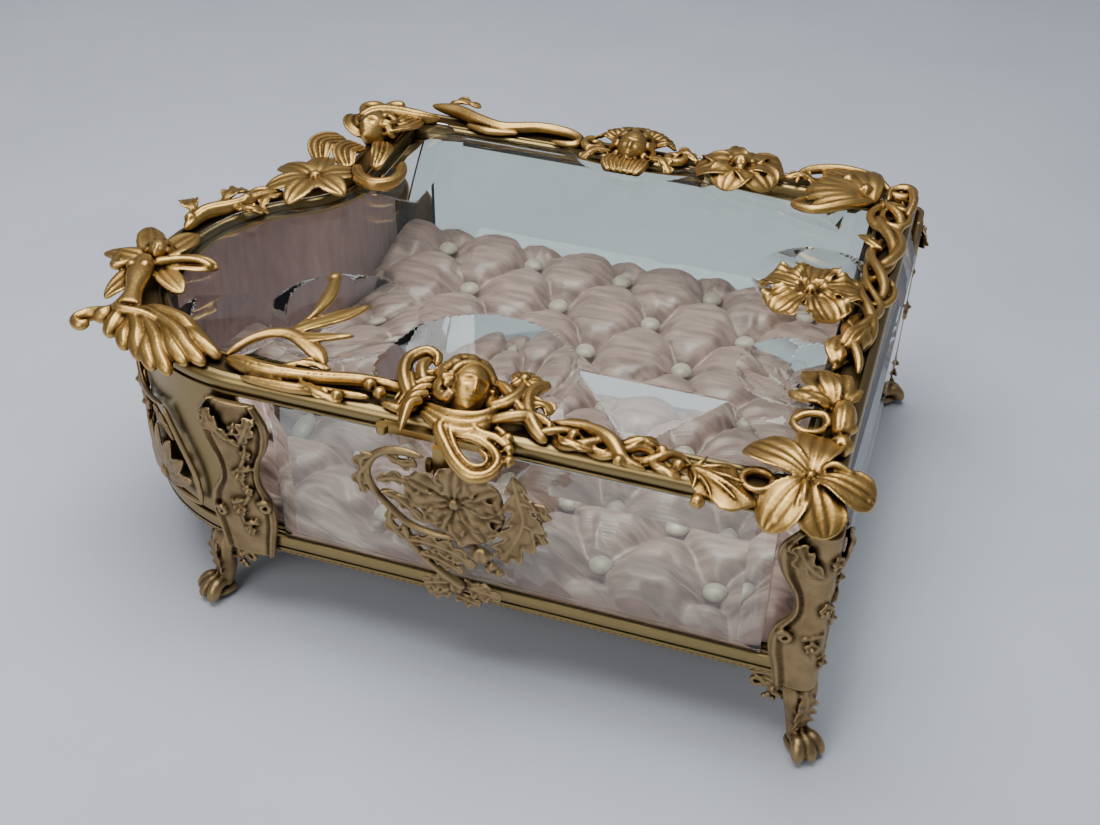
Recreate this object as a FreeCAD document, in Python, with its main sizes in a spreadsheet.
import FreeCAD, Part
import math
import os
import Sketcher
from FreeCAD import Placement, Rotation, Vector

# A footed glass casket with a hinged lid, cast gilt mounts and a buttoned silk floor.
# Plan frame: x runs right from the leftmost point of the round bulge, y runs back from the
# front face, and z is height above the table. Each sub-part is then moved so that the
# whole box stands centred over the origin.

SIZES = [
    ("length", 241.5, "lid frame, bulge to right edge"),
    ("depth", 183.0, "lid frame, front to back"),
    ("bulge_radius", 59.8, "round bulge at the front left"),
    ("rear_step", 36.8, "how far the left rear edge stands in from the bulge"),
    ("blend_radius", 17.0, "hollow curve between the bulge and the left rear edge"),
    ("left_overhang", 12.5, "petals beyond the bulge"),
    ("right_overhang", 9.2, "corner flower beyond the right edge"),
    ("front_overhang", 16.5, "thumb lift beyond the front edge"),
    ("back_overhang", 18.0, "crown beyond the back edge"),
    ("foot_height", 29.0, "table to the base rails"),
    ("foot_width", 10.0, "paw across"),
    ("foot_reach", 13.0, "toe beyond the foot's centre"),
    ("foot_top", 14.0, "plate that the base rails stand on"),
    ("foot_plate", 4.0, "top plate, thick"),
    ("foot_ankle", 6.0, "ankle, front to back"),
    ("foot_paw", 6.0, "paw above the table"),
    ("foot_inset", 12.0, "foot centre in from a corner"),
    ("rail_width", 12.5, "base and lid rails"),
    ("rail_height", 7.0, "base rails"),
    ("bead_inset", 0.6, "beading in from the rail's face"),
    ("bead_width", 1.6, "beading across"),
    ("bead_height", 1.4, "beading below the rails"),
    ("board_thickness", 4.0, "floor board"),
    ("glass_height", 54.0, "base rails to the lid's underside"),
    ("lid_gap", 0.3, "running clearance under the lid"),
    ("glass_setback", 0.5, "glass edge in from the rail's face"),
    ("glass_edge", 5.0, "glass at its edge"),
    ("bevel_depth", 3.8, "how far the bevelled field stands proud"),
    ("bevel_width", 7.0, "bevel across"),
    ("post_leg", 15.0, "corner post along each side"),
    ("post_depth", 5.5, "corner post inwards"),
    ("cover", 2.5, "cartouche in front of the post"),
    ("front_post", 11.5, "post between the bulge and the front glass"),
    ("cover_half", 11.5, "half of the front left cartouche"),
    ("wall_inset", 1.0, "curved wall in from the rail's face"),
    ("wall_thickness", 1.5, "curved brass wall"),
    ("lining_thickness", 2.0, "padded satin on the wall"),
    ("relief_thickness", 1.2, "pierced relief on the bulge"),
    ("relief_height", 40.0, "pierced relief, upright"),
    ("seat_gap", 0.05, "solder gap between curved faces"),
    ("cushion_inset", 6.5, "cushion in from the rail's face"),
    ("cushion_back", 21.0, "cushion in from the back face"),
    ("cushion_height", 10.0, "cushion above the base rails"),
    ("button_radius", 3.7, "silk covered button"),
    ("button_height", 3.0, "button above the cushion"),
    ("tuft_pitch", 36.0, "buttons along a row"),
    ("row_pitch", 24.0, "rows of buttons"),
    ("first_button", 32.0, "first button from the right edge"),
    ("first_row", 16.0, "first row from the front"),
    ("lid_height", 6.5, "lid rails"),
    ("lid_glass_lift", 0.7, "lid glass above the lid's underside"),
    ("lid_glass_edge", 3.0, "lid glass at its edge"),
    ("lid_glass_rise", 4.6, "lid glass field above its edge"),
    ("lid_bevel", 20.0, "lid glass bevel across"),
    ("glass_clear", 2.2, "sprays over the glass, above the rails' top"),
    ("bezel_inset", 7.0, "retaining bezel in from the rail's face"),
    ("bezel_width", 7.5, "retaining bezel"),
    ("bezel_thickness", 1.2, "retaining bezel below the lid"),
    ("hinge_rail_height", 4.0, "bar on the back glass"),
    ("hinge_right", 52.0, "right hinge from the right edge"),
    ("hinge_left", 40.0, "left hinge from the left rear edge"),
    ("knuckle", 5.0, "one knuckle"),
    ("knuckle_gap", 0.1, "between knuckles"),
    ("knuckle_radius", 2.0, "knuckle"),
    ("pin_radius", 0.8, "hinge pin"),
    ("pin_play", 0.05, "pin in its knuckle"),
    ("axis_out", 2.3, "hinge axis behind the back face"),
    ("leaf_thickness", 0.8, "hinge leaf"),
    ("leaf_clear", 2.2, "leaf plate above or below the axis"),
    ("leaf_tall", 3.8, "far edge of a leaf from the axis"),
    ("clasp_right", 113.0, "clasp from the right edge"),
    ("tongue_width", 5.0, "clasp tongue"),
    ("tongue_drop", 11.0, "clasp tongue below the lid"),
    ("tongue_thickness", 1.2, "clasp tongue"),
    ("tongue_out", 4.8, "clasp tongue's face beyond the rail's face"),
    ("tongue_rise", 0.6, "tongue's root above the lid's underside"),
    ("bar_height", 2.6, "clasp bar, upright"),
    ("bar_roll", 1.8, "rolled ends of the clasp bar"),
    ("bar_length", 38.0, "clasp bar"),
    ("keeper_wall", 1.7, "keeper cheek"),
    ("keeper_play", 0.3, "keeper beside the tongue"),
    ("keeper_height", 4.0, "keeper, upright"),
    ("spray_out", 5.7, "back of the front spray beyond the rail's face"),
    ("spray_thickness", 1.5, "front spray"),
    ("spray_radius", 23.0, "scroll ring of the spray"),
    ("spray_ring", 3.0, "scroll ring across"),
    ("spray_flower", 14.0, "flower of the spray"),
    ("spray_drop", 26.0, "spray centre below the lid"),
    ("cluster_width", 25.0, "leaf cluster on the base rail"),
    ("relief_base", 1.5, "relief above the base rails"),
    ("relief_sweep", 80.0, "relief round the bulge, degrees"),
    ("twig_radius", 2.6, "cast twigs"),
    ("vine_radius", 2.2, "cast vines"),
    ("petal_height", 5.0, "petals above the rails"),
    ("boss_height", 7.5, "flower hearts above the rails"),
    ("mask_height", 9.5, "masks above the rails"),
    ("corner_spread", 18.0, "corner flower, heart to petal tip"),
    ("corner_out", 11.0, "corner flower's heart from the front"),
    ("flower_spread", 17.0, "rail flowers, heart to petal tip"),
    ("back_flower_right", 64.0, "back flower from the right edge"),
    ("rear_flower_in", 6.25, "left rear flower from its rail's inner edge"),
    ("rear_flower_up", 58.0, "left rear flower behind the bulge's centre"),
    ("poppy_spread", 15.0, "poppy, heart to petal tip"),
    ("poppy_front", 97.0, "poppy from the front"),
    ("iris_front", 48.0, "iris from the front"),
    ("iris_spread", 15.0, "iris, half its length"),
    ("leaf_right", 42.0, "vine leaf from the right edge"),
    ("leaf_spread", 11.0, "vine leaf, half its length"),
    ("mask_right", 112.0, "front mask from the right edge"),
    ("mask_spread", 20.0, "front mask, half across its scrolls"),
    ("lift_radius", 8.0, "thumb lift under the front mask"),
    ("nymph_head", 9.0, "figure's head among petals"),
    ("nymph_body", 24.0, "figure's body"),
    ("scroll_start", 18.0, "acanthus scroll behind the bulge's centre"),
    ("scroll_length", 24.0, "acanthus scroll"),
    ("mantle_down", 6.0, "back left mask's edge from the back face"),
    ("mantle_gap", 2.2, "gap between the left rear flower and the back left mask"),
    ("mantle_spread", 20.0, "back left mask, half its breadth times 1.8"),
    ("mascaron_right", 106.0, "back mask from the right edge"),
    ("mascaron_spread", 14.0, "back mask, half across"),
    ("shell_right", 11.5, "winged shell from the right rail"),
    ("shell_spread", 16.0, "winged shell, half across"),
    ("vine_swing", 2.6, "how far the vines swing"),
    ("twig_swing", 2.0, "how far the twig swings"),
    ("swing_pitch", 9.5, "one swing of a vine or twig along its rail"),
    ("sprig_reach", 30.0, "olive sprig over the glass"),
    ("tendril_curl", 14.0, "tendril over the glass"),
]

doc = FreeCAD.newDocument("jewelry_box")
sheet = doc.addObject("Spreadsheet::Sheet", "Sizes")
size = {}
for row, (name, number, note) in enumerate(SIZES, start=1):
    sheet.set(f"A{row}", str(number))
    sheet.setAlias(f"A{row}", name)
    sheet.set(f"B{row}", note)
doc.recompute()
for name, number, note in SIZES:
    size[name] = float(sheet.get(name))


def value(text):
    """The number that a sum of cells, such as "length - post_leg/2", comes to."""
    total = 0.0
    sign = 1
    for word in text.split():
        if word in "+-":
            sign = 1 if word == "+" else -1
            continue
        name, _, divisor = word.partition("/")
        number = size[name] if name in size else float(name)
        total += sign * number / float(divisor or 1)
    return total


def shared(text, parts):
    """The same sum with each of its cells divided into so many parts."""
    words = []
    for word in text.split():
        name, _, divisor = word.partition("/")
        words.append(word if word in "+-" else f"{name}/{float(divisor or 1) * parts:g}")
    return " ".join(words)


def formula(text):
    """The same sum as a FreeCAD expression on the sheet."""
    words = []
    for word in text.split():
        name = word.partition("/")[0]
        words.append("Sizes." + word if name in size else word)
    return " ".join(words)


def less(text):
    """Take a sum of cells away from what stands before it."""
    return " - " + text.replace(" + ", " - ")


# Where the plan frame's zero stands in the document, and the levels of the box.
PLAN_X = "left_overhang/2 - right_overhang/2 - length/2"
PLAN_Y = "front_overhang/2 - back_overhang/2 - depth/2"
RAIL_TOP = "foot_height + rail_height"
LID = "foot_height + rail_height + glass_height"
LID_TOP = LID + " + lid_height"
SIDE_HEIGHT = "glass_height - lid_gap"


def bind(item, prop, text):
    item.setExpression(prop, formula(text))


def place(item, x, y, z, turn=0.0):
    """Stand an object at a place of the plan frame, turned about the upright axis."""
    item.Placement = Placement(Vector(), Rotation(Vector(0, 0, 1), turn))
    bind(item, "Placement.Base.x", PLAN_X + " + " + x)
    bind(item, "Placement.Base.y", PLAN_Y + " + " + y)
    bind(item, "Placement.Base.z", z)


nodes = []


def node(item, label):
    """Name an object as one of the box's sub-parts."""
    item.Label = label
    nodes.append(item)
    return item


def body(label, x, y, z, turn=0.0):
    item = doc.addObject("PartDesign::Body", label)
    place(item, x, y, z, turn)
    return node(item, label)


# Sketches ---------------------------------------------------------------------------------

def sketch_on(item, name, role="XY_Plane", lift=None):
    plane = [entry for entry in item.Origin.OriginFeatures if entry.Role == role][0]
    sketch = item.newObject("Sketcher::SketchObject", name)
    sketch.AttachmentSupport = [(plane, "")]
    sketch.MapMode = "FlatFace"
    if lift:
        bind(sketch, "AttachmentOffset.Base.z", lift)
    return sketch


def tie(sketch, geometry, end, x=None, y=None):
    """Hold a point of a sketch at sums of cells along x, y or both."""
    for kind, place_text, axis in (("DistanceX", x, -2), ("DistanceY", y, -1)):
        if place_text is None:
            continue
        if place_text == "0":
            sketch.addConstraint(Sketcher.Constraint("PointOnObject", geometry, end, axis))
            continue
        rule = Sketcher.Constraint(kind, -1, 1, geometry, end, value(place_text))
        index = sketch.addConstraint(rule)
        bind(sketch, f"Constraints[{index}]", place_text)


def radius(sketch, arc, text):
    index = sketch.addConstraint(Sketcher.Constraint("Radius", arc, value(text)))
    bind(sketch, f"Constraints[{index}]", text)


def line(sketch, start, end):
    segment = Part.LineSegment(Vector(*start, 0), Vector(*end, 0))
    return sketch.addGeometry(segment, False)


def arc(sketch, centre, length, start, end):
    circle = Part.Circle(Vector(*centre, 0), Vector(0, 0, 1), length)
    return sketch.addGeometry(Part.ArcOfCircle(circle, start, end), False)


def polygon(sketch, corners):
    """A closed run of straight lines, each corner held at two sums of cells."""
    spots = [(value(x), value(y)) for x, y in corners]
    lines = [line(sketch, spots[i - 1], spots[i]) for i in range(len(spots))]
    for i, (x, y) in enumerate(corners):
        following = lines[(i + 1) % len(lines)]
        sketch.addConstraint(Sketcher.Constraint("Coincident", lines[i], 2, following, 1))
        tie(sketch, lines[i], 2, x, y)


def blend_centre():
    """Centre of the hollow curve, which touches the bulge and the left rear edge."""
    across = size["bulge_radius"] - size["rear_step"] + size["blend_radius"]
    reach = size["bulge_radius"] + size["blend_radius"]
    up = math.sqrt(reach ** 2 - across ** 2)
    return size["bulge_radius"] - across, size["bulge_radius"] + up


def plan_loop(sketch, inset, back=None):
    """The box's plan outline, parallel to the rails' outer face and inset from it."""
    back = back or inset
    step_in = value(inset)
    bulge = (size["bulge_radius"], size["bulge_radius"])
    blend = blend_centre()
    meet = math.atan2(bulge[1] - blend[1], bulge[0] - blend[0])
    left = size["rear_step"] + step_in
    right = size["length"] - step_in
    rear = size["depth"] - value(back)
    front = line(sketch, (bulge[0], step_in), (right, step_in))
    side = line(sketch, (right, step_in), (right, rear))
    behind = line(sketch, (right, rear), (left, rear))
    edge = line(sketch, (left, rear), (left, blend[1]))
    hollow = arc(sketch, blend, size["blend_radius"] + step_in, meet, 0.0)
    round_end = arc(sketch, bulge, size["bulge_radius"] - step_in, meet + math.pi, 1.5 * math.pi)
    rules = [("Coincident", front, 2, side, 1), ("Coincident", side, 2, behind, 1),
             ("Coincident", behind, 2, edge, 1), ("Tangent", edge, 2, hollow, 2),
             ("Tangent", hollow, 1, round_end, 1), ("Tangent", round_end, 2, front, 1),
             ("Horizontal", front), ("Horizontal", behind), ("Vertical", side), ("Vertical", edge)]
    for rule in rules:
        sketch.addConstraint(Sketcher.Constraint(*rule))
    tie(sketch, round_end, 3, "bulge_radius", "bulge_radius")
    radius(sketch, round_end, "bulge_radius" + less(inset))
    radius(sketch, hollow, "blend_radius + " + inset)
    tie(sketch, side, 1, x="length" + less(inset))
    tie(sketch, behind, 1, y="depth" + less(back))
    tie(sketch, edge, 1, x="rear_step + " + inset)


def left_strip(sketch, inset, width, outer_end, inner_end):
    """A strip along the left side: rear edge, hollow curve and bulge, inset and so wide."""
    outer = value(inset)
    inner = outer + value(width)
    bulge = (size["bulge_radius"], size["bulge_radius"])
    blend = blend_centre()
    meet = math.atan2(bulge[1] - blend[1], bulge[0] - blend[0])
    ends = (size["depth"] - value(outer_end), size["depth"] - value(inner_end))
    lefts = (size["rear_step"] + outer, size["rear_step"] + inner)
    down = line(sketch, (lefts[0], ends[0]), (lefts[0], blend[1]))
    hollow = arc(sketch, blend, size["blend_radius"] + outer, meet, 0.0)
    bow = arc(sketch, bulge, size["bulge_radius"] - outer, meet + math.pi, 1.5 * math.pi)
    cap = line(sketch, (bulge[0], outer), (bulge[0], inner))
    inner_bow = arc(sketch, bulge, size["bulge_radius"] - inner, meet + math.pi, 1.5 * math.pi)
    inner_hollow = arc(sketch, blend, size["blend_radius"] + inner, meet, 0.0)
    up = line(sketch, (lefts[1], blend[1]), (lefts[1], ends[1]))
    close = line(sketch, (lefts[1], ends[1]), (lefts[0], ends[0]))
    rules = [("Tangent", down, 2, hollow, 2), ("Tangent", hollow, 1, bow, 1),
             ("Coincident", bow, 2, cap, 1), ("Coincident", cap, 2, inner_bow, 2),
             ("Tangent", inner_bow, 1, inner_hollow, 1), ("Tangent", inner_hollow, 2, up, 1),
             ("Coincident", up, 2, close, 1), ("Coincident", close, 2, down, 1),
             ("Coincident", inner_bow, 3, bow, 3), ("Coincident", inner_hollow, 3, hollow, 3),
             ("Vertical", down), ("Vertical", cap), ("Vertical", up)]
    for rule in rules:
        sketch.addConstraint(Sketcher.Constraint(*rule))
    tie(sketch, bow, 3, "bulge_radius", "bulge_radius")
    tie(sketch, cap, 1, x="bulge_radius")
    tie(sketch, down, 1, "rear_step + " + inset, "depth" + less(outer_end))
    tie(sketch, up, 2, y="depth" + less(inner_end))
    radius(sketch, bow, "bulge_radius" + less(inset))
    radius(sketch, inner_bow, "bulge_radius" + less(inset) + less(width))
    radius(sketch, hollow, "blend_radius + " + inset)


def pad(item, sketch, length, back=False):
    feature = item.newObject("PartDesign::Pad", sketch.Name + "_pad")
    feature.Profile = sketch
    feature.Reversed = back
    bind(feature, "Length", length)
    sketch.Visibility = False
    return feature


# Rails, glass and floor ---------------------------------------------------------------------

def rails(prefix, level, height):
    """Four mitred rails that follow the plan: the left one is curved."""
    w = "rail_width"
    shapes = {
        "front": [("bulge_radius", "0"), ("length", "0"), ("length - " + w, w), ("bulge_radius", w)],
        "right": [("length", "0"), ("length", "depth"), ("length - " + w, "depth - " + w),
                  ("length - " + w, w)],
        "back": [("length", "depth"), ("rear_step", "depth"), ("rear_step + " + w, "depth - " + w),
                 ("length - " + w, "depth - " + w)],
    }
    for side, corners in shapes.items():
        rail = body(f"{prefix}_rail_{side}", "0", "0", level)
        outline = sketch_on(rail, f"{prefix}_{side}_plan")
        polygon(outline, corners)
        pad(rail, outline, height)
    rail = body(f"{prefix}_rail_left", "0", "0", level)
    outline = sketch_on(rail, f"{prefix}_left_plan")
    left_strip(outline, "0", w, "0", w)
    pad(rail, outline, height)


def ring(label, level, inset, width, height):
    """A flat closed band parallel to the rails."""
    band = body(label, "0", "0", level)
    outline = sketch_on(band, label + "_plan")
    plan_loop(outline, inset)
    plan_loop(outline, inset + " + " + width)
    pad(band, outline, height)


def plate(label, level, inset, height, back=None):
    """A slab with the box's plan."""
    slab = body(label, "0", "0", level)
    outline = sketch_on(slab, label + "_plan")
    plan_loop(outline, inset, back)
    pad(slab, outline, height)


def glass(label, x, y, turn, width, height):
    """A pane with a flat inner face and a bevelled field standing proud outside."""
    pane = body(label, x, y, RAIL_TOP, turn)
    for part_name, depth_text, inwards in (("edge", "glass_edge", True), ("field", "bevel_depth", False)):
        outline = sketch_on(pane, f"{label}_{part_name}", "XZ_Plane")
        polygon(outline, [("0", "0"), (width, "0"), (width, height), ("0", height)])
        step = pad(pane, outline, depth_text, inwards)
        if not inwards:
            step.setExpression("TaperAngle", "-atan(Sizes.bevel_width / Sizes.bevel_depth)")


def block(label, x, y, z, long, wide, tall):
    """A plain rectangular bar."""
    bar = doc.addObject("Part::Box", label)
    bind(bar, "Length", long)
    bind(bar, "Width", wide)
    bind(bar, "Height", tall)
    place(bar, x, y, z)
    return bar


rails("base", "foot_height", "rail_height")
ring("base_beading", "foot_height - bead_height", "bead_inset", "bead_width", "bead_height")
plate("floor_board", RAIL_TOP + " - board_thickness", "rail_width", "board_thickness")
plate("cushion", RAIL_TOP, "cushion_inset", "cushion_height", "cushion_back")
glass("front_glass", "bulge_radius + front_post", "glass_setback", 0,
      "length - bulge_radius - front_post - post_leg", SIDE_HEIGHT)
glass("right_glass", "length - glass_setback", "post_leg", 90,
      "depth - post_leg - post_leg", SIDE_HEIGHT)
glass("back_glass", "length - post_leg", "depth - glass_setback", 180,
      "length - rear_step - post_leg - post_leg", SIDE_HEIGHT + " - hinge_rail_height")
node(block("hinge_rail", "rear_step + post_leg", "depth - post_depth", LID + " - lid_gap - hinge_rail_height",
           "length - rear_step - post_leg - post_leg", "post_depth", "hinge_rail_height"), "hinge_rail")

wall = body("left_wall", "0", "0", RAIL_TOP)
wall_plan = sketch_on(wall, "left_wall_plan")
left_strip(wall_plan, "wall_inset", "wall_thickness", "post_leg", "post_leg")
pad(wall, wall_plan, SIDE_HEIGHT)

lining = body("left_wall_lining", "0", "0", RAIL_TOP)
lining_plan = sketch_on(lining, "left_wall_lining_plan")
left_strip(lining_plan, "wall_inset + wall_thickness", "lining_thickness", "post_leg", "post_leg")
pad(lining, lining_plan, SIDE_HEIGHT)


# Posts, feet and front mounts -----------------------------------------------------------------

def corner_post(label, x, y, turn):
    """An L-shaped casting: a post between two panes and a cartouche over the base rail."""
    post = body(label, x, y, "foot_height", turn)
    reach = "cover + post_leg"
    face = sketch_on(post, label + "_face")
    polygon(face, [("0", "0"), (reach, "0"), (reach, "cover"), ("cover", "cover"),
                   ("cover", reach), ("0", reach)])
    pad(post, face, "rail_height + " + SIDE_HEIGHT)
    inside = "cover + post_depth"
    angle = sketch_on(post, label + "_angle", lift="rail_height")
    polygon(angle, [("cover", "cover"), (reach, "cover"), (reach, inside), (inside, inside),
                    (inside, reach), ("cover", reach)])
    pad(post, angle, SIDE_HEIGHT)


corner_post("pilaster_front_right", "length + cover", "0 - cover", 90)
corner_post("pilaster_back_right", "length + cover", "depth + cover", 180)
corner_post("pilaster_back_left", "rear_step - cover", "depth + cover", 270)

bulge_post = body("pilaster_front_left", "bulge_radius - cover_half", "0 - cover", "foot_height")
bulge_face = sketch_on(bulge_post, "bulge_post_face")
polygon(bulge_face, [("0", "0"), ("cover_half + cover_half", "0"),
                     ("cover_half + cover_half", "cover"), ("0", "cover")])
pad(bulge_post, bulge_face, "rail_height + " + SIDE_HEIGHT)
bulge_inner = sketch_on(bulge_post, "bulge_post_inner", lift="rail_height")
polygon(bulge_inner, [("cover_half", "cover"), ("cover_half + front_post", "cover"),
                      ("cover_half + front_post", "cover + post_depth"),
                      ("cover_half", "cover + post_depth")])
pad(bulge_post, bulge_inner, SIDE_HEIGHT)


FOOT_PROFILE = [
    ("0 - foot_top/2", "foot_height"), ("0 - foot_top/2", "foot_height - foot_plate"),
    ("0 - foot_ankle/2", "foot_height/2"), ("0 - foot_ankle/2", "foot_paw"),
    ("0 - foot_ankle/2", "0"), ("foot_reach", "0"), ("foot_reach", "foot_paw/2"),
    ("foot_ankle/2", "foot_paw"), ("foot_ankle/2", "foot_height/2"),
    ("foot_top/2", "foot_height - foot_plate"), ("foot_top/2", "foot_height")]


def foot(label, x, y, turn):
    """A paw foot: a side profile with a top plate, an ankle and a toe, as wide as the paw."""
    paw = body(label, x, y, "0", turn)
    profile = sketch_on(paw, label + "_profile", "XZ_Plane")
    polygon(profile, FOOT_PROFILE)
    both_ways = pad(paw, profile, "foot_width")
    both_ways.Midplane = True


foot("foot_front_right", "length - foot_inset", "foot_inset", -55)
foot("foot_back_right", "length - foot_inset", "depth - foot_inset", 35)
foot("foot_back_left", "rear_step + foot_inset", "depth - foot_inset", 135)
foot("foot_front_left", "bulge_radius - foot_inset/2", "foot_inset + bead_width + bead_inset", -127)


def rod(label, x, y, z, reach, thick, axis=Vector(1, 0, 0)):
    """A round bar along x, or along another axis."""
    bar = doc.addObject("Part::Cylinder", label)
    bind(bar, "Radius", thick)
    bind(bar, "Height", reach)
    place(bar, x, y, z)
    bar.Placement = Placement(bar.Placement.Base, Rotation(Vector(0, 0, 1), axis))
    return bar


def fused(label, pieces):
    whole = doc.addObject("Part::MultiFuse", label)
    whole.Shapes = pieces
    return whole


def cut(label, base, tool):
    rest = doc.addObject("Part::Cut", label)
    rest.Base = base
    rest.Tool = tool
    return rest


FORWARD = Vector(0, -1, 0)
UPWARD = Vector(0, 0, 1)
SPRAY_Z = LID + " - spray_drop"


def front_spray():
    """Openwork before the front glass: a flower in a ring, on four bars and a stem."""
    x = "length - clasp_right"
    y = "0 - spray_out"
    outer = rod("spray_outer", x, y, SPRAY_Z, "spray_thickness", "spray_radius", FORWARD)
    hole = rod("spray_hole", x, y, SPRAY_Z, "spray_thickness", "spray_radius - spray_ring", FORWARD)
    flower = rod("spray_heart", x, y, SPRAY_Z, "spray_thickness", "spray_flower", FORWARD)
    half_long = "spray_radius - spray_ring/2"
    back = "0 - spray_out - spray_thickness"
    across = block("spray_across", f"{x}{less(half_long)} + spray_ring", back,
                   SPRAY_Z + " - spray_ring/2", "spray_radius + spray_radius - spray_ring",
                   "spray_thickness", "spray_ring")
    stem = block("spray_stem", x + " - spray_ring/2", back, RAIL_TOP, "spray_ring", "spray_thickness",
                 "glass_height - spray_drop + spray_radius - spray_ring/2")
    node(fused("front_spray", [cut("spray_band", outer, hole), flower, across, stem]), "front_spray")


front_spray()
node(block("base_leaf_cluster", "length - clasp_right - cluster_width/2", "0 - spray_out - spray_thickness",
           "foot_height", "cluster_width", "spray_out + spray_thickness", "rail_height"),
     "base_leaf_cluster")


RELIEF_START = 172.0


def bulge_relief():
    """A pierced relief soldered to the outside of the bulge."""
    shells = []
    for name, thick in (("relief_outer", "bulge_radius - wall_inset + seat_gap + relief_thickness"),
                        ("relief_inner", "bulge_radius - wall_inset + seat_gap")):
        shell = doc.addObject("Part::Cylinder", name)
        bind(shell, "Radius", thick)
        bind(shell, "Height", "relief_height")
        bind(shell, "Angle", "relief_sweep")
        place(shell, "bulge_radius", "bulge_radius", RAIL_TOP + " + relief_base", RELIEF_START)
        shells.append(shell)
    node(cut("left_wall_relief", *shells), "left_wall_relief")


bulge_relief()


# Cushion buttons ---------------------------------------------------------------------------------

def dome(name, x, y, z, along, across, tall, turn=0.0):
    """Half an ellipsoid standing on its flat side."""
    half = doc.addObject("Part::Ellipsoid", name)
    half.Angle1 = 0
    half.Angle2 = 90
    bind(half, "Radius1", tall)
    bind(half, "Radius2", along)
    bind(half, "Radius3", across)
    place(half, x, y, z, turn)
    return half


def inside_cushion(x, y):
    """Whether a button stands well inside the cushion's plan."""
    edge = size["cushion_inset"] + size["button_radius"] * 2
    if x < size["bulge_radius"] and y < blend_centre()[1]:
        away = math.hypot(x - size["bulge_radius"], y - size["bulge_radius"])
        return away < size["bulge_radius"] - edge
    return size["rear_step"] + edge < x < size["length"] - edge


def button_places():
    """Rows of buttons, every other row half a pitch along, as sums of cells."""
    places = []
    rows = int((size["depth"] - size["cushion_back"] - size["first_row"]) / size["row_pitch"]) + 1
    columns = int(size["length"] / size["tuft_pitch"]) + 1
    for line_number in range(rows):
        y = "first_row" + " + row_pitch" * line_number
        for column in range(columns):
            x = "length - first_button" + " - tuft_pitch" * column + " - tuft_pitch/2" * (line_number % 2)
            if inside_cushion(value(x), value(y)):
                places.append((x, y))
    return places


buttons = [dome(f"button_{i}", x, y, RAIL_TOP + " + cushion_height", "button_radius", "button_radius",
                "button_height") for i, (x, y) in enumerate(button_places(), start=1)]
node(fused("cushion_buttons", buttons), "cushion_buttons")


# Hinges ------------------------------------------------------------------------------------------

def leaf(label, x, upward, knuckles):
    """Half a hinge: a plate, and a web and a knuckle at each of its places along the pin."""
    y = "depth + axis_out"
    plate_z = LID + " + leaf_clear" if upward else LID + " - leaf_tall"
    web_z = LID + " + lid_gap" if upward else LID + " - leaf_clear"
    length = "knuckle + knuckle + knuckle + knuckle_gap + knuckle_gap"
    pieces = [block(label + "_plate", x, "depth", plate_z, length, "leaf_thickness", "leaf_tall - leaf_clear")]
    for i in knuckles:
        start = x + " + knuckle + knuckle_gap" * i
        pieces.append(block(f"{label}_web_{i}", start, "depth", web_z, "knuckle", "leaf_thickness",
                            "leaf_clear - lid_gap"))
        pieces.append(rod(f"{label}_knuckle_{i}", start, y, LID, "knuckle", "knuckle_radius"))
    bore = rod(label + "_bore", x, y, LID, length, "pin_radius + pin_play")
    node(cut(label, fused(label + "_blank", pieces), bore), label)


for side, x in (("right", "length - hinge_right"), ("left", "rear_step + hinge_left")):
    leaf(f"hinge_{side}_body_leaf", x, False, (0, 2))
    leaf(f"hinge_{side}_lid_leaf", x, True, (1,))
    node(rod(f"hinge_{side}_pin", x, "depth + axis_out", LID,
             "knuckle + knuckle + knuckle + knuckle_gap + knuckle_gap", "pin_radius"), f"hinge_{side}_pin")


# Clasp -------------------------------------------------------------------------------------------

tongue = body("clasp_tongue", "length - clasp_right - tongue_width/2", "0 - tongue_out",
              LID + " - tongue_drop")
tongue_side = sketch_on(tongue, "clasp_tongue_side", "YZ_Plane")
ROOT = "tongue_drop + tongue_rise"
polygon(tongue_side, [("0", "0"), ("tongue_thickness", "0"), ("tongue_thickness", ROOT), ("tongue_out", ROOT),
                      ("tongue_out", ROOT + " + tongue_thickness"), ("0", ROOT + " + tongue_thickness")])
pad(tongue, tongue_side, "tongue_width")

BAR_Z = LID + " + tongue_rise + tongue_thickness"
bar_y = "0 - tongue_out/2"
bar_parts = [block("clasp_bar_strip", "length - clasp_right - bar_length/2", bar_y, BAR_Z,
                   "bar_length", "tongue_out/2", "bar_height")]
for end, x in (("left", "length - clasp_right - bar_length/2"),
               ("right", "length - clasp_right + bar_length/2")):
    bar_parts.append(rod("clasp_bar_roll_" + end, x, bar_y, BAR_Z, "bar_height", "bar_roll", UPWARD))
node(fused("clasp_bar", bar_parts), "clasp_bar")

KEEPER_Z = SPRAY_Z + " + spray_radius - keeper_height"
keeper_parts = []
for side, x in (("left", "length - clasp_right - tongue_width/2 - keeper_play - keeper_wall"),
                ("right", "length - clasp_right + tongue_width/2 + keeper_play")):
    keeper_parts.append(block("keeper_cheek_" + side, x, "0 - spray_out", KEEPER_Z,
                              "keeper_wall", "spray_out - tongue_out + tongue_thickness", "keeper_height"))
node(fused("clasp_keeper", keeper_parts), "clasp_keeper")


# Lid ---------------------------------------------------------------------------------------------

rails("lid", LID, "lid_height")


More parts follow.
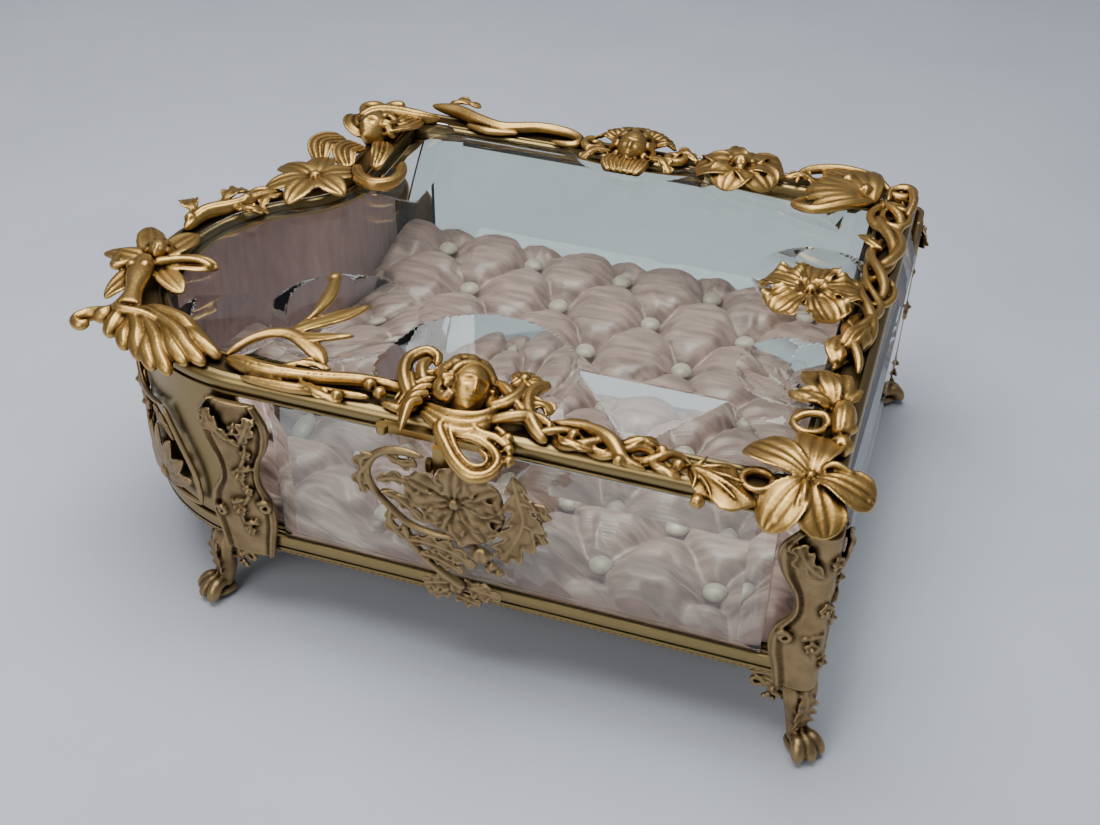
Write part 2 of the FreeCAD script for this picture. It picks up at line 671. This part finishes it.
def lid_pane():
    """The lid's plate: an edge under the rails' level and a bevelled field above it."""
    pane = body("lid_glass", "0", "0", LID + " + lid_glass_lift")
    for part_name, lift, height in (("edge", None, "lid_glass_edge"),
                                    ("field", "lid_glass_edge", "lid_glass_rise")):
        outline = sketch_on(pane, "lid_glass_" + part_name, lift=lift)
        plan_loop(outline, "rail_width")
        step = pad(pane, outline, height)
        if lift:
            step.setExpression("TaperAngle", "-atan(Sizes.lid_bevel / Sizes.lid_glass_rise)")


lid_pane()
ring("lid_bezel", LID + " - bezel_thickness", "bezel_inset", "bezel_width", "bezel_thickness")


# Cast ornaments, which stand on the flat top of the lid rails --------------------------------------

def lump(label, x, y, along, across, tall, turn=0.0, level=LID_TOP):
    """One rounded part of a casting."""
    return dome(label, x, y, level, along, across, tall, turn)


def flower(label, x, y, spread, petals, start=0.0, level=LID_TOP):
    """Petals round a heart; each petal reaches from the heart to the flower's spread."""
    parts = [lump(label + "_heart", x, y, spread + "/3.5", spread + "/3.5", "boss_height", 0.0, level)]
    for i in range(petals):
        turn = start + 360.0 * i / petals
        petal = lump(f"{label}_petal_{i}", x, y, spread + "/2.4", spread + "/4", "petal_height", turn, level)
        reach = size[spread] * (1 - 1 / 2.4)
        share = reach / size[spread]
        for axis, wave in (("x", math.cos(math.radians(turn))), ("y", math.sin(math.radians(turn)))):
            old = formula(PLAN_X + " + " + x) if axis == "x" else formula(PLAN_Y + " + " + y)
            petal.setExpression(f"Placement.Base.{axis}", f"{old} + Sizes.{spread} * {share * wave:.4f}")
        parts.append(petal)
    if level != LID_TOP:
        parts.append(rod(label + "_stalk", "length - rail_width", y, LID_TOP, "glass_clear + petal_height/2",
                         "vine_radius", UPWARD))
    node(fused(label, parts), label)


def casting(label, parts):
    """A casting of several rounded parts: x, y, along, across, height and turn of each."""
    lumps = [lump(f"{label}_{i}", *part) for i, part in enumerate(parts, start=1)]
    node(fused(label, lumps), label)


def rounded(points):
    """A path of straight runs joined by arcs as large as the runs allow."""
    edges = []
    start = points[0]
    for before, corner, after in zip(points, points[1:], points[2:]):
        back = (before - corner)
        ahead = (after - corner)
        reach = 0.45 * min(back.Length, ahead.Length)
        first = corner + back.normalize() * reach
        last = corner + ahead.normalize() * reach
        half = (math.pi - back.getAngle(ahead)) / 2
        inward = (back + ahead).normalize()
        bend = reach / math.tan(half)
        middle = corner + inward * (bend / math.cos(half) - bend)
        edges.append(Part.LineSegment(start, first).toShape())
        edges.append(Part.Arc(first, middle, last).toShape())
        start = last
    edges.append(Part.LineSegment(start, points[-1]).toShape())
    return Part.Wire(edges)


def stem(label, points, thick, level=LID_TOP):
    """A half-round stem along a winding path of plan points; a raised one stands on a short post."""
    path = rounded([Vector(x, y, 0) for x, y in points])
    start = Vector(points[0][0], points[0][1], 0)
    along = (Vector(points[1][0], points[1][1], 0) - start).normalize()
    side = Vector(-along.y, along.x, 0)
    right = start - side * thick
    left = start + side * thick
    crown = start + Vector(0, 0, thick)
    section = Part.Wire([Part.Arc(left, crown, right).toShape(), Part.LineSegment(right, left).toShape()])
    item = doc.addObject("Part::Feature", label)
    item.Shape = path.makePipeShell([section], True, False)
    if level != LID_TOP:
        foot_point = start + along * thick - Vector(0, 0, size["glass_clear"])
        post = Part.makeCylinder(thick, size["glass_clear"] + thick / 2, foot_point)
        item.Shape = item.Shape.fuse(post).removeSplitter()
    place(item, "0", "0", level)
    return node(item, label)


def winding(start, end, swing):
    """Points that swing from side to side along a straight line, one swing to each pitch of it."""
    points = [start]
    length = math.hypot(end[0] - start[0], end[1] - start[1])
    waves = max(1, round(length / size["swing_pitch"]))
    across = ((start[1] - end[1]) / length, (end[0] - start[0]) / length)
    for i in range(waves):
        share = (i + 0.5) / waves
        off = swing if i % 2 else -swing
        points.append((start[0] + (end[0] - start[0]) * share + across[0] * off,
                       start[1] + (end[1] - start[1]) * share + across[1] * off))
    points.append(end)
    return points


MIDDLE = "rail_width/2"
flower("corner_flower", "length + right_overhang - corner_spread", "corner_out", "corner_spread", 5, 0.0)
flower("flower_back", "length - back_flower_right", "depth - " + MIDDLE, "flower_spread", 6, 20.0)
flower("flower_left_rear", "rear_step + rail_width - rear_flower_in", "bulge_radius + rear_flower_up", "flower_spread", 5, 50.0)
flower("poppy_right", "length - rail_width - poppy_spread/2", "poppy_front", "poppy_spread", 5, 36.0,
       LID_TOP + " + glass_clear")
casting("iris_right", [
    ("length - rail_width", "iris_front", "iris_spread", "iris_spread/1.7", "petal_height", 90),
    ("length - " + MIDDLE, "iris_front + iris_spread/2", "iris_spread/2", "iris_spread/3", "boss_height", 60)])
casting("vine_leaf_front", [
    ("length - leaf_right", "leaf_spread/3", "leaf_spread", "leaf_spread/1.5", "petal_height", 20),
    ("length - leaf_right", "leaf_spread/3", "leaf_spread/1.2", "leaf_spread/1.6", "petal_height", 110)])
casting("mask_ornament", [
    ("length - mask_right", MIDDLE, "mask_spread", "mask_spread/2", "petal_height", 0),
    ("length - mask_right", MIDDLE, "mask_spread/2", "mask_spread/1.7", "mask_height", 90),
    ("length - mask_right + mask_spread/3", "lift_radius - front_overhang", "lift_radius", "lift_radius",
     "petal_height/1.5", 0),
    ("length - mask_right + mask_spread/5", "0", "lift_radius", "lift_radius/2", "petal_height/1.2", 60)])
casting("nymph_figure", [
    ("nymph_head - left_overhang", "bulge_radius", "nymph_head", "nymph_head", "boss_height", 0),
    ("nymph_head", "bulge_radius - nymph_body/2", "nymph_body/1.3", "nymph_head", "boss_height", 110),
    ("bulge_radius/2", "bulge_radius/4", "nymph_body", "nymph_head/1.1", "petal_height", 135)])
casting("acanthus_scroll_left", [
    ("rail_width/1.6", "bulge_radius + scroll_start", "scroll_length/2", MIDDLE, "petal_height", 75),
    ("rail_width/0.8", "bulge_radius + scroll_start + scroll_length/2", "scroll_length/2", MIDDLE,
     "petal_height", 50)])
MANTLE_END = "bulge_radius + rear_flower_up + flower_spread + mantle_gap"
MANTLE_RUN = "depth - mantle_down - bulge_radius - rear_flower_up - flower_spread - mantle_gap"
casting("mantled_mask_back_left", [
    ("rear_step + " + MIDDLE, MANTLE_END + " + " + shared(MANTLE_RUN, 2), shared(MANTLE_RUN, 2),
     "mantle_spread/1.8", "petal_height", 90),
    ("rear_step + " + MIDDLE, MANTLE_END + " + " + shared(MANTLE_RUN, 1.5), shared(MANTLE_RUN, 4),
     "mantle_spread/2.2", "mask_height", 45)])
casting("mascaron_back", [
    ("length - mascaron_right", "depth - " + MIDDLE, "mascaron_spread/1.4", "mascaron_spread/1.6",
     "mask_height", 90),
    ("length - mascaron_right", "depth + back_overhang - mascaron_spread", "mascaron_spread",
     "mascaron_spread/1.3", "petal_height", 90)])
casting("wing_shell_back_right", [
    ("length - rail_width - shell_right", "depth - " + MIDDLE, "shell_spread", "shell_spread/1.7",
     "petal_height", 20),
    ("length - rail_width - shell_right + shell_spread/3", "depth - " + MIDDLE, "shell_spread/1.6",
     "shell_spread/2", "boss_height", 100)])

rail_line = value(MIDDLE)
right_line = size["length"] - rail_line
vine_gap = size["flower_spread"] / 2
stem("vine_right", winding((right_line, size["poppy_front"] + vine_gap),
                           (right_line, size["depth"] - size["shell_spread"] * 1.8), size["vine_swing"]),
     size["vine_radius"])
stem("vine_front_right", winding((size["length"] - size["mask_right"] + size["mask_spread"] * 1.15, rail_line),
                                 (size["length"] - size["leaf_right"] - size["leaf_spread"] * 1.1, rail_line),
                                 size["vine_swing"]), size["vine_radius"])
stem("branch_front_left", winding((size["bulge_radius"], rail_line),
                                  (size["length"] - size["mask_right"] - size["mask_spread"] * 1.15, rail_line),
                                  size["twig_swing"]), size["twig_radius"])
stem("scroll_back", winding((size["rear_step"] + rail_line + size["mantle_spread"],
                             size["depth"] - rail_line),
                            (size["length"] - size["mascaron_right"] - size["mascaron_spread"] * 1.2,
                             size["depth"] - rail_line), size["vine_swing"]), size["twig_radius"])
sprig_x = size["bulge_radius"] + size["twig_radius"]
sprig_y = size["rail_width"]
reach = size["sprig_reach"]
stem("olive_sprig", [(sprig_x, sprig_y), (sprig_x + reach / 3, sprig_y + reach / 4),
                     (sprig_x + reach / 2, sprig_y + reach / 2), (sprig_x + reach, sprig_y + reach)],
     size["twig_radius"], LID_TOP + " + glass_clear")
tendril_x = size["rear_step"] + size["rail_width"] - size["vine_radius"]
tendril_y = value(MANTLE_END) - size["vine_radius"] / 2
curl = size["tendril_curl"]
stem("tendril", [(tendril_x, tendril_y), (tendril_x + curl, tendril_y),
                 (tendril_x + curl * 1.5, tendril_y + curl * 0.6),
                 (tendril_x + curl * 1.2, tendril_y + curl * 1.2)], size["vine_radius"],
     LID_TOP + " + glass_clear")


# Checks and export ---------------------------------------------------------------------------------

doc.recompute()
faults = [f"{item.Name}: {item.getStatusString()}" for item in doc.Objects
          if "Invalid" in item.State or "Error" in item.State]
for item in nodes:
    if item.Shape.isNull() or not item.Shape.isValid() or not item.Shape.Solids:
        faults.append(f"{item.Label}: no valid solid")
if faults:
    raise RuntimeError("; ".join(faults))

os.makedirs("parts", exist_ok=True)
for item in nodes:
    item.Shape.exportStep(f"parts/{item.Label}.step")
print(f"{len(nodes)} sub-parts written")
